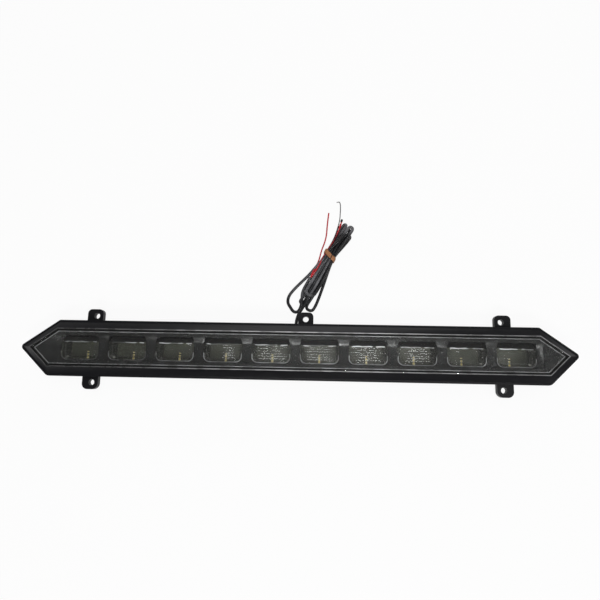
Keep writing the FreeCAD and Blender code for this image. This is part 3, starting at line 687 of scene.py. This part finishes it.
# Corners of the lamp's outline, sharp, in mm from its middle.
HALF_HEIGHT = 28.35
TOP_CORNER = 241.4
BOTTOM_CORNER = 249.8
TIP = 280.0
TIP_HEIGHT = 0.9
UPPER_ANGLE = np.arctan((HALF_HEIGHT - TIP_HEIGHT) / (TIP - TOP_CORNER))
LOWER_ANGLE = np.arctan((HALF_HEIGHT + TIP_HEIGHT) / (TIP - BOTTOM_CORNER))


def bar_corners(inset):
    """The six corners of the lamp's outline moved inwards, from the upper left one round by the right
    tip: each corner moves along the line that halves its angle."""
    half_gap = (UPPER_ANGLE + LOWER_ANGLE) / 2
    lean = (LOWER_ANGLE - UPPER_ANGLE) / 2
    top = TOP_CORNER - inset * np.tan(UPPER_ANGLE / 2)
    bottom = BOTTOM_CORNER - inset * np.tan(LOWER_ANGLE / 2)
    tip = TIP - inset * np.cos(lean) / np.sin(half_gap)
    tip_y = TIP_HEIGHT - inset * np.sin(lean) / np.sin(half_gap)
    high = HALF_HEIGHT - inset
    x = np.stack([-top, top, tip, bottom, -bottom, -tip])
    y = np.stack([high, high, tip_y, -high, -high, tip_y])
    return x, y


def add_lens_bead(name, finish, inset, height, radius):
    """A bead all round the lens that carries a painted highlight: a circle in the plane of inset and height
    carried round six corners.
    """
    around = np.linspace(0, 2 * np.pi, 12, endpoint=False)
    x, y = bar_corners(inset + radius * np.cos(around))
    z = height + radius * np.sin(around) + 0 * x
    new_piece(name, grid_mesh(name, np.stack([x, y, z], axis=-1), loop_rows=True), finish)


add_lens_bead("lens_outer_edge", lens_outer_highlight, inset=9.6, height=33.2, radius=0.5)
add_lens_bead("lens_inner_edge", lens_inner_highlight, inset=12.4, height=30.72, radius=0.42)


# Housing, mask, lens and the parts behind them

eased_copy("rear_housing", black_tray, edge=0.5)
eased_copy("inner_mask", black_mask, edge=0.25)
eased_copy("front_lens", lens_clear, edge=0.3)
eased_copy("cable_grommet", black_rubber, edge=0.35)

PLAIN_FINISHES = {
    "lens_seal": black_rubber,
    "led_board": board_mask,
    "driver_chip": chip_black,
    "input_diode": chip_black,
    "lead_socket": socket_nylon,
}
for number in CELL_MIDDLES:
    PLAIN_FINISHES[f"led_{number:02d}"] = led_ceramic
for node, finish in PLAIN_FINISHES.items():
    NODES[node].data.materials.clear()
    NODES[node].data.materials.append(finish)


def signed_power(values, power):
    """Values brought to a power by their size, with their signs kept."""
    return np.sign(values) * np.abs(values) ** power


def pad_points(middle_x, middle_y, half_width, half_length, bottom, top):
    """Grid of a low pad with rounded sides: squarish rings that shrink as a quarter round to the top."""
    angle = np.linspace(0, 2 * np.pi, 32, endpoint=False)
    squareness = 0.35
    ring_x = signed_power(np.cos(angle), squareness) * half_width
    ring_y = signed_power(np.sin(angle), squareness) * half_length
    rise = np.linspace(np.pi / 2, 0.05, 8)[:, None]
    share = np.concatenate([np.sin(rise)[::-1], [[0.9]]])
    height = np.concatenate([(bottom + (top - bottom) * np.cos(rise))[::-1], [[bottom]]])
    x = middle_x + share * ring_x
    y = middle_y + share * ring_y
    return np.stack([x, y, height + 0 * x], axis=-1)


PAD_SHAPE = {"middle_y": -8.4, "half_width": 0.78, "half_length": 2.6, "bottom": 6.1, "top": 6.42}
for number, cell_middle in CELL_MIDDLES.items():
    pad_name = f"phosphor_{number:02d}"
    pad_mesh = grid_mesh(pad_name, pad_points(cell_middle, **PAD_SHAPE))
    new_piece(pad_name, pad_mesh, phosphor)


# Lead, hank and wires

# The lead out of the lamp and down to the hank, in mm.
LEAD_RUN = [(-0.8, 13.25, 10.5), (-0.8, 26.15, 10.5), (0.6, 38.4, 7.4), (6.4, 48.0, 5.4)]

# Stations along the hank in mm, and where each pass of the lead lies there: to the right, and height.
STATIONS = (13, 30, 46, 57, 64.5, 76, 85)
PASSES = [
    [(1.1, 4.9), (1.8, 4.9), (1.4, 5.9), (1.1, 7.2), (1.1, 7.2), (0.9, 6.3), (2.6, 4.8)],
    [(10.9, 1.7), (8.2, 1.9), (5.2, 2.8), (3.75, 4.1), (3.75, 4.1), (6.2, 2.8), (7.9, 2.3)],
    [(4.0, 1.65), (4.4, 1.65), (1.9, 2.7), (1.1, 4.1), (1.1, 4.1), (2.9, 2.7), (4.2, 1.7)],
    [(-1.2, 1.65), (-1.6, 1.65), (-1.8, 2.7), (-1.65, 4.1), (-1.65, 4.1), (-0.5, 2.7), (-1.0, 1.7)],
    [(-4.3, 1.65), (-4.9, 1.65), (-5.2, 2.7), (-4.4, 4.1), (-4.4, 4.1), (-3.8, 2.7), (-4.6, 1.7)],
    [None, (-4.2, 4.9), (-4.0, 6.0), (-1.65, 7.2), (-1.65, 7.2), (-2.5, 6.2), (-2.2, 5.1)],
    [None, (5.4, 4.8), (4.8, 6.1), (3.75, 7.2), (3.75, 7.2), (4.4, 6.4), (5.8, 6.6)],
    [None, None, (-7.4, 5.6), (-4.4, 7.2), (-4.4, 7.2), (-1.0, 8.9), (1.1, 8.6)],
]
# Folds after each pass but the last, as distance along the hank, place to the right, and height.
FOLDS = [
    [(90.6, 3.4, 4.9), (90.6, 8.8, 3.5)],
    [(5, 11.6, 1.65), (-0.2, 10.9, 1.65), (-1.2, 5.6, 1.65), (1.8, 2.8, 1.65)],
    [(92, 4.6, 1.7), (97.4, 4.4, 1.7), (97.4, 0.0, 1.7), (92, -0.8, 1.7)],
    [(8, -1.3, 1.65), (2.1, -0.7, 1.65), (2.1, -5.4, 1.65), (8, -4.9, 1.65)],
    [(93, -4.6, 1.7), (99.8, -4.6, 2.1), (99.8, -1.2, 4.9), (93, -1.6, 5.5)],
    [(22, -4.6, 6.0), (12.5, -4.4, 7.6), (12.5, 4.8, 7.6), (22, 5.5, 6.0)],
    [(91.5, 6.6, 7.2), (99.2, 7.1, 6.2), (99.2, 2.5, 7.6), (92, 1.8, 8.8)],
]
# The loop on the left that follows the last pass, given the same way, to the end of the sheath.
LEFT_LOOP = [
    (38.5, -9.2, 3.6), (31, -11.1, 1.9), (21, -14.3, 1.65), (11, -17.2, 1.65), (2.0, -18.7, 1.65),
    (-4.6, -16.2, 1.65), (-7.4, -11.4, 1.65), (-10.4, -5.6, 1.65), (-8.0, -1.4, 1.9), (-1.6, -1.4, 4.0),
    (5, -4.0, 4.9), (12.5, -7.9, 2.8), (23, -8.3, 1.8), (30.8, -8.0, 3.0),
]


def hank_point(along, right, height):
    """A point of the hank: so far along its line, so far to its right, at that height."""
    return HANK_FOOT + along * HANK_LINE + right * HANK_SIDE + height * UPWARDS


def lead_route():
    """The whole lead: out of the lamp, up and down the hank pass by pass with a fold after each, and by
    the left loop to its end."""
    route = list(LEAD_RUN)
    for index, lanes in enumerate(PASSES):
        stops = [(station, *lane) for station, lane in zip(STATIONS, lanes) if lane]
        stops = stops if index % 2 == 0 else stops[::-1]
        folds = FOLDS[index] if index < len(FOLDS) else LEFT_LOOP
        route += [tuple(hank_point(*stop)) for stop in stops + folds]
    return route


def cord_curve(name, route, diameter, finish):
    """A round cord on one smooth spline, whose control points are the route in mm."""
    curve = bpy.data.curves.new(name, "CURVE")
    curve.dimensions = "3D"
    spline = curve.splines.new("NURBS")
    spline.points.add(len(route) - 1)
    points = np.ones((len(route), 4))
    points[:, :3] = np.array(route) * MM
    spline.points.foreach_set("co", points.ravel())
    spline.order_u = 3
    spline.use_endpoint_u = True
    spline.resolution_u = 8
    spline.points.foreach_set("radius", np.full(len(route), diameter / 2 * MM))
    curve.bevel_depth = 1.0
    curve.bevel_resolution = 4
    curve.use_fill_caps = True
    return new_piece(name, curve, finish)


def curve_line(piece):
    """The points of a cord's own smooth line, in mm, read from its spline without its thickness."""
    depth = piece.data.bevel_depth
    piece.data.bevel_depth = 0.0
    bpy.context.view_layer.update()
    line = bpy.data.meshes.new_from_object(piece.evaluated_get(bpy.context.evaluated_depsgraph_get()))
    piece.data.bevel_depth = depth
    points = np.empty(len(line.vertices) * 3)
    line.vertices.foreach_get("co", points)
    bpy.data.meshes.remove(line)
    return points.reshape(-1, 3) / MM


def line_length(points):
    """Length of a line through points, in their unit."""
    return float(np.linalg.norm(np.diff(points, axis=0), axis=1).sum())


# Wires from the end of the sheath, in mm: the free red one, the two that run under the band, and the bare
# strands at the end of the black one.
RED_FREE = [
    (13.6, 80.6, 3.4), (15.0, 84.0, 4.8), (19.0, 91.7, 5.4), (22.6, 99.7, 2.8), (24.9, 111.0, 0.9),
    (28.3, 119.6, 0.8), (30.2, 128.0, 0.8), (30.7, 137.0, 0.8), (31.6, 146.5, 0.8), (32.4, 153.2, 0.8),
]
RED_TIED = [
    (14.2, 80.4, 3.0), (17.9, 85.4, 6.3), (23.4, 94.7, 7.7), (26.8, 102.4, 7.0), (31.1, 110.3, 6.9),
    (38.4, 120.9, 5.3), (41.7, 129.4, 4.2), (45.1, 137.9, 1.5), (46.8, 145.4, 1.25),
]
BLACK_WIRE = [
    (13.9, 80.1, 2.3), (16.7, 84.9, 4.2), (21.1, 94.7, 2.7), (26.6, 102.5, 4.8), (31.0, 110.4, 4.7),
    (36.6, 120.1, 1.6), (40.6, 129.8, 0.8), (43.0, 138.6, 0.8),
]
BARE_END = [
    (42.6, 138.0, 0.8), (44.4, 144.6, 0.8), (44.9, 152.4, 0.8), (45.2, 160.0, 0.8), (44.6, 165.6, 0.8),
    (43.0, 166.2, 0.8), (40.9, 165.5, 0.8),
]

lead = cord_curve("lead_cable", lead_route(), LEAD_DIAMETER, black_sheath)
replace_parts(lead, "lead_tube", "lead_hank")
red_free = cord_curve("red_wire_free_run", RED_FREE, WIRE_DIAMETER, red_core)
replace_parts(red_free, "red_wire_free")
red_tied = cord_curve("red_wire_tied_run", RED_TIED, WIRE_DIAMETER, red_tied_core)
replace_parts(red_tied, "red_wire_tied")
black_wire = cord_curve("black_wire_run", BLACK_WIRE, WIRE_DIAMETER, black_core)
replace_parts(black_wire, "black_wire")


# Bare strands: how many, and in mm their radius and distance from the middle, with their twist in radians
# to the mm.
STRANDS = 5
STRAND_RADIUS = 0.25
STRAND_OFFSET = 0.3
STRAND_TWIST = 0.9
BARE_DIAMETER = 0.9


def strand_points(line, turn):
    """Rings of one bare strand along a line: each ring lies across the line, moved off it at an angle that
    turns steadily, so that several strands twist about one another."""
    side, top = directions_across(line)
    travelled = np.concatenate([[0], np.cumsum(np.linalg.norm(np.diff(line, axis=0), axis=1))])
    swing = turn + travelled * STRAND_TWIST
    middle = line + STRAND_OFFSET * (np.cos(swing)[:, None] * side + np.sin(swing)[:, None] * top)
    return middle[:, None, :] + STRAND_RADIUS * circles(side, top, columns=8)


bare_guide = cord_curve("bare_guide", BARE_END, BARE_DIAMETER, tinned)
bare_line = curve_line(bare_guide)
bpy.data.objects.remove(bare_guide)
bare_pieces = []
for strand in range(STRANDS):
    strand_name = f"bare_strand_{strand + 1}"
    strand_mesh = grid_mesh(strand_name, strand_points(bare_line, strand * 2 * np.pi / STRANDS))
    bare_pieces.append(new_piece(strand_name, strand_mesh, tinned))
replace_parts(bare_pieces[0], "black_wire_end")


def tip_points(line, radius, length):
    """A short sleeve with a rounded end over the last stretch of a line."""
    end = line[-1]
    ahead = line[-1] - line[-4]
    ahead /= np.linalg.norm(ahead)
    side = np.cross(ahead, UPWARDS)
    around = np.linspace(0, 2 * np.pi, 24, endpoint=False)
    ring = np.cos(around)[:, None] * side + np.sin(around)[:, None] * np.cross(side, ahead)
    arc = np.linspace(0, np.pi / 2 - 0.08, 7)
    share = np.concatenate([[0.8, 0.97, 1.0, 1.0], np.cos(arc[1:])])
    place = np.concatenate([[-length, -length, -length + 0.15, 0.0], np.sin(arc[1:]) * radius])
    return end + place[:, None, None] * ahead + radius * share[:, None, None] * ring[None]


# How far the black tip, and then the red sleeve short of it, are set back along the hank, in mm.
TIP_BACK = 0.35
SLEEVE_BACK = 0.4
red_line = curve_line(red_tied) - TIP_BACK * HANK_LINE
tip_mesh = grid_mesh("red_wire_tip", tip_points(red_line, radius=1.2, length=2.2))
red_tip = new_piece("red_wire_tip", tip_mesh, black_core)
sleeve_line = red_line[:-3] - SLEEVE_BACK * HANK_LINE
sleeve_mesh = grid_mesh("red_wire_sleeve", tip_points(sleeve_line, radius=1.12, length=5.0))
red_sleeve = new_piece("red_wire_sleeve", sleeve_mesh, red_core)

# Rubber band, in mm: its middle, the half axes of its oval, half its thickness and width, how far each side
# leans along the hank, and the crease.
TIE_MIDDLE = np.array([33.55, 103.9, 5.65]) + 0.25 * HANK_SIDE
BAND_HALF_WIDTH = 7.0
BAND_HALF_HEIGHT = 3.95
BAND_THICK = 0.5
BAND_WIDE = 2.4
BAND_LEAN = 2.5
CREASE_ANGLE = np.radians(84)
CREASE_SPREAD = 0.05
CREASE_DEPTH = 0.4
CREASE_RIGHT = BAND_HALF_WIDTH * np.sqrt(np.cos(CREASE_ANGLE))


def band_points():
    """The rubber band: a flat rounded section carried round a squarish oval, leaning along the hank from
    its right side to its left, waving a little, and nipped in at a crease."""
    around = np.linspace(0, 2 * np.pi, 240, endpoint=False)[:, None]
    section = np.linspace(0, 2 * np.pi, 24, endpoint=False)[None, :]
    thick = signed_power(np.cos(section), 0.6) * BAND_THICK
    wide = signed_power(np.sin(section), 0.5) * BAND_WIDE
    nip = np.exp(-(((around - CREASE_ANGLE) / CREASE_SPREAD) ** 2))
    bulge = 0.2 * np.sin(2 * (around - CREASE_ANGLE)) ** 2 - CREASE_DEPTH * nip
    across = signed_power(np.cos(around), 0.5)
    upright = signed_power(np.sin(around), 0.5)
    right = (BAND_HALF_WIDTH + thick + bulge) * across
    height = (BAND_HALF_HEIGHT + thick + bulge) * upright
    lean = -BAND_LEAN * across + 0.15 * np.sin(3 * around) + wide * (1 - 0.25 * nip)
    parts = right[..., None] * HANK_SIDE + height[..., None] * UPWARDS + lean[..., None] * HANK_LINE
    return TIE_MIDDLE + parts


crease_offset = float(TIE_MIDDLE @ HANK_SIDE + CREASE_RIGHT) * MM
tan_band = band_rubber("tan_band", tuple(HANK_SIDE), crease_offset)
band_mesh = grid_mesh("hank_tie_band", band_points()[:, ::-1], loop_rows=True)
bands = [new_piece("hank_tie_band", band_mesh, tan_band)]
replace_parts(bands[0], "hank_tie")

SHEATH_END = tuple(hank_point(*LEFT_LOOP[-1]) * MM)
line_length(curve_line(lead)) * MM
line_length(curve_line(red_free)) * MM
line_length(curve_line(red_tied)) * MM
line_length(curve_line(black_wire)) * MM


# Floor, light and camera

FLOOR_HALF = 2.5
floor_mesh = bpy.data.meshes.new("floor")
floor_corners = [(-FLOOR_HALF, -FLOOR_HALF, 0), (FLOOR_HALF, -FLOOR_HALF, 0)]
floor_corners += [(FLOOR_HALF, FLOOR_HALF, 0), (-FLOOR_HALF, FLOOR_HALF, 0)]
floor_mesh.from_pydata(floor_corners, [], [(0, 1, 2, 3)])
floor_mesh.materials.append(floor_finish)
floor = bpy.data.objects.new("floor", floor_mesh)
bpy.context.scene.collection.objects.link(floor)


def soft_lamp(name, place, target, width, height, power, mirrored):
    """A flat lamp in metres that faces the target; mirrored says if glossy and clear faces show it."""
    light = bpy.data.lights.new(name, "AREA")
    light.shape = "RECTANGLE"
    light.size = width
    light.size_y = height
    light.energy = power
    lamp = bpy.data.objects.new(name, light)
    forward = np.array(target, float) - np.array(place, float)
    forward /= np.linalg.norm(forward)
    right = np.cross(forward, (0.0, 1.0, 0.001))
    right /= np.linalg.norm(right)
    up = np.cross(right, forward)
    turn = np.eye(4)
    turn[:3, 0] = right
    turn[:3, 1] = up
    turn[:3, 2] = -forward
    turn[:3, 3] = place
    bpy.context.scene.collection.objects.link(lamp)
    lamp.matrix_world = turn.T.tolist()
    lamp.visible_glossy = mirrored
    lamp.visible_transmission = mirrored


LAMP_MIDDLE = (0, 0, 0)
SPOT_PLACES = (-0.1, 0.18, 0.46, 0.74, 1.02)
soft_lamp(
    "overhead_soft", (0.1, 0.5, 1.7), LAMP_MIDDLE, width=1.6, height=1.2, power=9.0, mirrored=False,
)
soft_lamp("near_soft", (0.08, -1.0, 1.3), LAMP_MIDDLE, width=0.9, height=0.4, power=11.5, mirrored=True)
soft_lamp("far_strip", (0.05, 1.5, 0.5), (0, 0.1, 0), width=1.1, height=0.9, power=6.0, mirrored=True)
for spot, spot_x in enumerate(SPOT_PLACES):
    spot_place = (spot_x, -0.35, 1.6)
    soft_lamp(f"spot_{spot}", spot_place, LAMP_MIDDLE, width=0.05, height=0.05, power=1.0, mirrored=True)


def studio_world():
    """Pale room: white to the camera, and as a light brightest near the middle and towards the far side."""
    world = bpy.data.worlds.new("studio")
    bpy.context.scene.world = world
    world.use_nodes = True
    nodes = Nodes(world.node_tree)
    direction = nodes.add("TexCoord", out="Generated")
    far = nodes.add("SeparateXYZ", None, {0: direction}, out="Y")
    right = nodes.add("SeparateXYZ", None, {0: direction}, out="X")
    middle = nodes.steep(right, -0.35, 0.03) * (1 - 0.6 * nodes.steep(right, 0.08, 0.3))
    level = 0.048 + nodes.steep(far, -0.8, 0.1) * 0.065 + middle * 0.15
    seen = nodes.add("LightPath", out="Is Camera Ray")
    strength = level * (1 - seen) + seen
    backdrop = nodes.add("Background", None, {"Color": (1.0, 0.995, 0.985, 1), "Strength": strength})
    nodes.add("OutputWorld", None, {"Surface": backdrop})


studio_world()

# The camera as fitted to the photo, in metres and radians.
eye = bpy.data.cameras.new("photo_eye")
eye.lens = 30.0
eye.sensor_width = 36.0
eye.clip_start = 0.01
camera = bpy.data.objects.new("photo_eye", eye)
bpy.context.scene.collection.objects.link(camera)
camera.location = (0.02048, -0.03321, 0.52396)
camera.rotation_euler = (0.1703, 0.0302, 0.0202)
bpy.context.scene.camera = camera
bpy.context.scene.view_settings.view_transform = "Standard"

bpy.context.view_layer.update()
